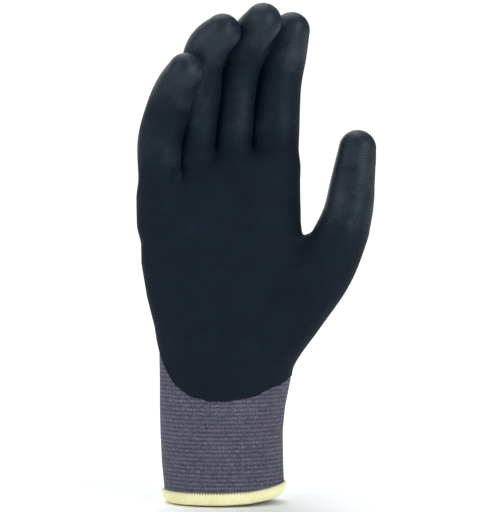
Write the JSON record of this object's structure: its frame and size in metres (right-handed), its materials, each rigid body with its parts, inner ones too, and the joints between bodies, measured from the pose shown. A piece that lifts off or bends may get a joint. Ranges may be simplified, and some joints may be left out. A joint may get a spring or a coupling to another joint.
{
  "type": "cut resistant glove",
  "caption": "Right-hand cut resistant work glove: knitted liner with a long cuff, dipped palm and finger coating, overlocked hem, and fingers that bend at their joints.",
  "frame": {"origin": "centre of the wrist opening, on the plane of the hem's lower edge", "axes": "+Z from the wrist opening to the fingertips, palm facing -Y, thumb on +X"},
  "size_m": [0.1159, 0.0601, 0.242],
  "materials": {
    "knit": "matte",
    "coating": "matte",
    "hem_thread": "matte",
    "elastic": "satin"
  },
  "bodies": {
    "cuff": {"cuff_liner": "knit", "hem_overlock": "hem_thread", "cuff_elastic": "elastic"},
    "palm": {"palm_liner": "knit", "palm_coating": "coating"},
    "knuckles": {"knuckle_liner": "knit", "knuckle_coating": "coating"},
    "pinky_base": {"pinky_base_liner": "knit", "pinky_base_coating": "coating"},
    "pinky_middle": {"pinky_middle_liner": "knit", "pinky_middle_coating": "coating"},
    "pinky_tip": {"pinky_tip_liner": "knit", "pinky_tip_coating": "coating"},
    "ring_base": {"ring_base_liner": "knit", "ring_base_coating": "coating"},
    "ring_middle": {"ring_middle_liner": "knit", "ring_middle_coating": "coating"},
    "ring_tip": {"ring_tip_liner": "knit", "ring_tip_coating": "coating"},
    "middle_base": {"middle_base_liner": "knit", "middle_base_coating": "coating"},
    "middle_middle": {"middle_middle_liner": "knit", "middle_middle_coating": "coating"},
    "middle_tip": {"middle_tip_liner": "knit", "middle_tip_coating": "coating"},
    "index_base": {"index_base_liner": "knit", "index_base_coating": "coating"},
    "index_middle": {"index_middle_liner": "knit", "index_middle_coating": "coating"},
    "index_tip": {"index_tip_liner": "knit", "index_tip_coating": "coating"},
    "thumb_base": {"thumb_base_liner": "knit", "thumb_base_coating": "coating"},
    "thumb_tip": {"thumb_tip_liner": "knit", "thumb_tip_coating": "coating"}
  },
  "joints": [
    {"name": "wrist", "type": "hinge", "parent": "cuff", "child": "palm", "pos_m": [-0.0012, 0, 0.047], "axis": [1, 0, 0], "range_deg": [-20, 25], "stiffness_Nm_per_rad": 0.12},
    {"name": "knuckle_line", "type": "hinge", "parent": "palm", "child": "knuckles", "pos_m": [-0.002, -0.003, 0.14], "axis": [0.989, 0, 0.1478], "range_deg": [-10, 30], "stiffness_Nm_per_rad": 0.08},
    {"name": "pinky_root", "type": "hinge", "parent": "knuckles", "child": "pinky_base", "pos_m": [-0.0306, -0.01221, 0.16673], "axis": [0.927, 0.375, -0.0018], "range_deg": [-20, 45], "stiffness_Nm_per_rad": 0.04},
    {"name": "pinky_middle_joint", "type": "hinge", "parent": "pinky_base", "child": "pinky_middle", "pos_m": [-0.0266, -0.01748, 0.18913], "axis": [0.9096, 0.4087, -0.0745], "range_deg": [-20, 50], "stiffness_Nm_per_rad": 0.03},
    {"name": "pinky_end_joint", "type": "hinge", "parent": "pinky_middle", "child": "pinky_tip", "pos_m": [-0.02159, -0.02575, 0.20127], "axis": [0.8931, 0.4454, -0.0635], "range_deg": [-15, 30], "stiffness_Nm_per_rad": 0.02},
    {"name": "ring_root", "type": "hinge", "parent": "knuckles", "child": "ring_base", "pos_m": [-0.01079, -0.00878, 0.18001], "axis": [0.9341, 0.3512, -0.0638], "range_deg": [-20, 45], "stiffness_Nm_per_rad": 0.04},
    {"name": "ring_middle_joint", "type": "hinge", "parent": "ring_base", "child": "ring_middle", "pos_m": [-0.00805, -0.0121, 0.20075], "axis": [0.932, 0.3596, -0.0462], "range_deg": [-20, 50], "stiffness_Nm_per_rad": 0.03},
    {"name": "ring_end_joint", "type": "hinge", "parent": "ring_middle", "child": "ring_tip", "pos_m": [-0.00414, -0.02109, 0.21529], "axis": [0.9243, 0.379, -0.0442], "range_deg": [-15, 30], "stiffness_Nm_per_rad": 0.02},
    {"name": "middle_root", "type": "hinge", "parent": "knuckles", "child": "middle_base", "pos_m": [0.00642, -0.00582, 0.18127], "axis": [0.9438, 0.3195, -0.0843], "range_deg": [-20, 45], "stiffness_Nm_per_rad": 0.04},
    {"name": "middle_middle_joint", "type": "hinge", "parent": "middle_base", "child": "middle_middle", "pos_m": [0.01017, -0.00968, 0.20418], "axis": [0.9289, 0.349, -0.1236], "range_deg": [-20, 50], "stiffness_Nm_per_rad": 0.03},
    {"name": "middle_end_joint", "type": "hinge", "parent": "middle_middle", "child": "middle_tip", "pos_m": [0.01578, -0.01691, 0.2203], "axis": [0.9244, 0.3676, -0.1013], "range_deg": [-15, 30], "stiffness_Nm_per_rad": 0.02},
    {"name": "index_root", "type": "hinge", "parent": "knuckles", "child": "index_base", "pos_m": [0.02683, -0.00188, 0.18216], "axis": [0.9595, 0.2738, -0.0664], "range_deg": [-20, 45], "stiffness_Nm_per_rad": 0.04},
    {"name": "index_middle_joint", "type": "hinge", "parent": "index_base", "child": "index_middle", "pos_m": [0.02802, -0.00137, 0.20588], "axis": [0.9506, 0.2861, -0.1205], "range_deg": [-20, 50], "stiffness_Nm_per_rad": 0.03},
    {"name": "index_end_joint", "type": "hinge", "parent": "index_middle", "child": "index_tip", "pos_m": [0.03179, -0.00377, 0.22055], "axis": [0.9402, 0.3117, -0.1373], "range_deg": [-15, 30], "stiffness_Nm_per_rad": 0.02},
    {"name": "thumb_root", "type": "hinge", "parent": "palm", "child": "thumb_base", "pos_m": [0.05739, -0.01011, 0.14216], "axis": [0.6736, -0.7089, -0.2093], "range_deg": [-15, 30], "stiffness_Nm_per_rad": 0.04},
    {"name": "thumb_end_joint", "type": "hinge", "parent": "thumb_base", "child": "thumb_tip", "pos_m": [0.05948, -0.01212, 0.15647], "axis": [0.6936, -0.6907, -0.2045], "range_deg": [-15, 45], "stiffness_Nm_per_rad": 0.03}
  ]
}
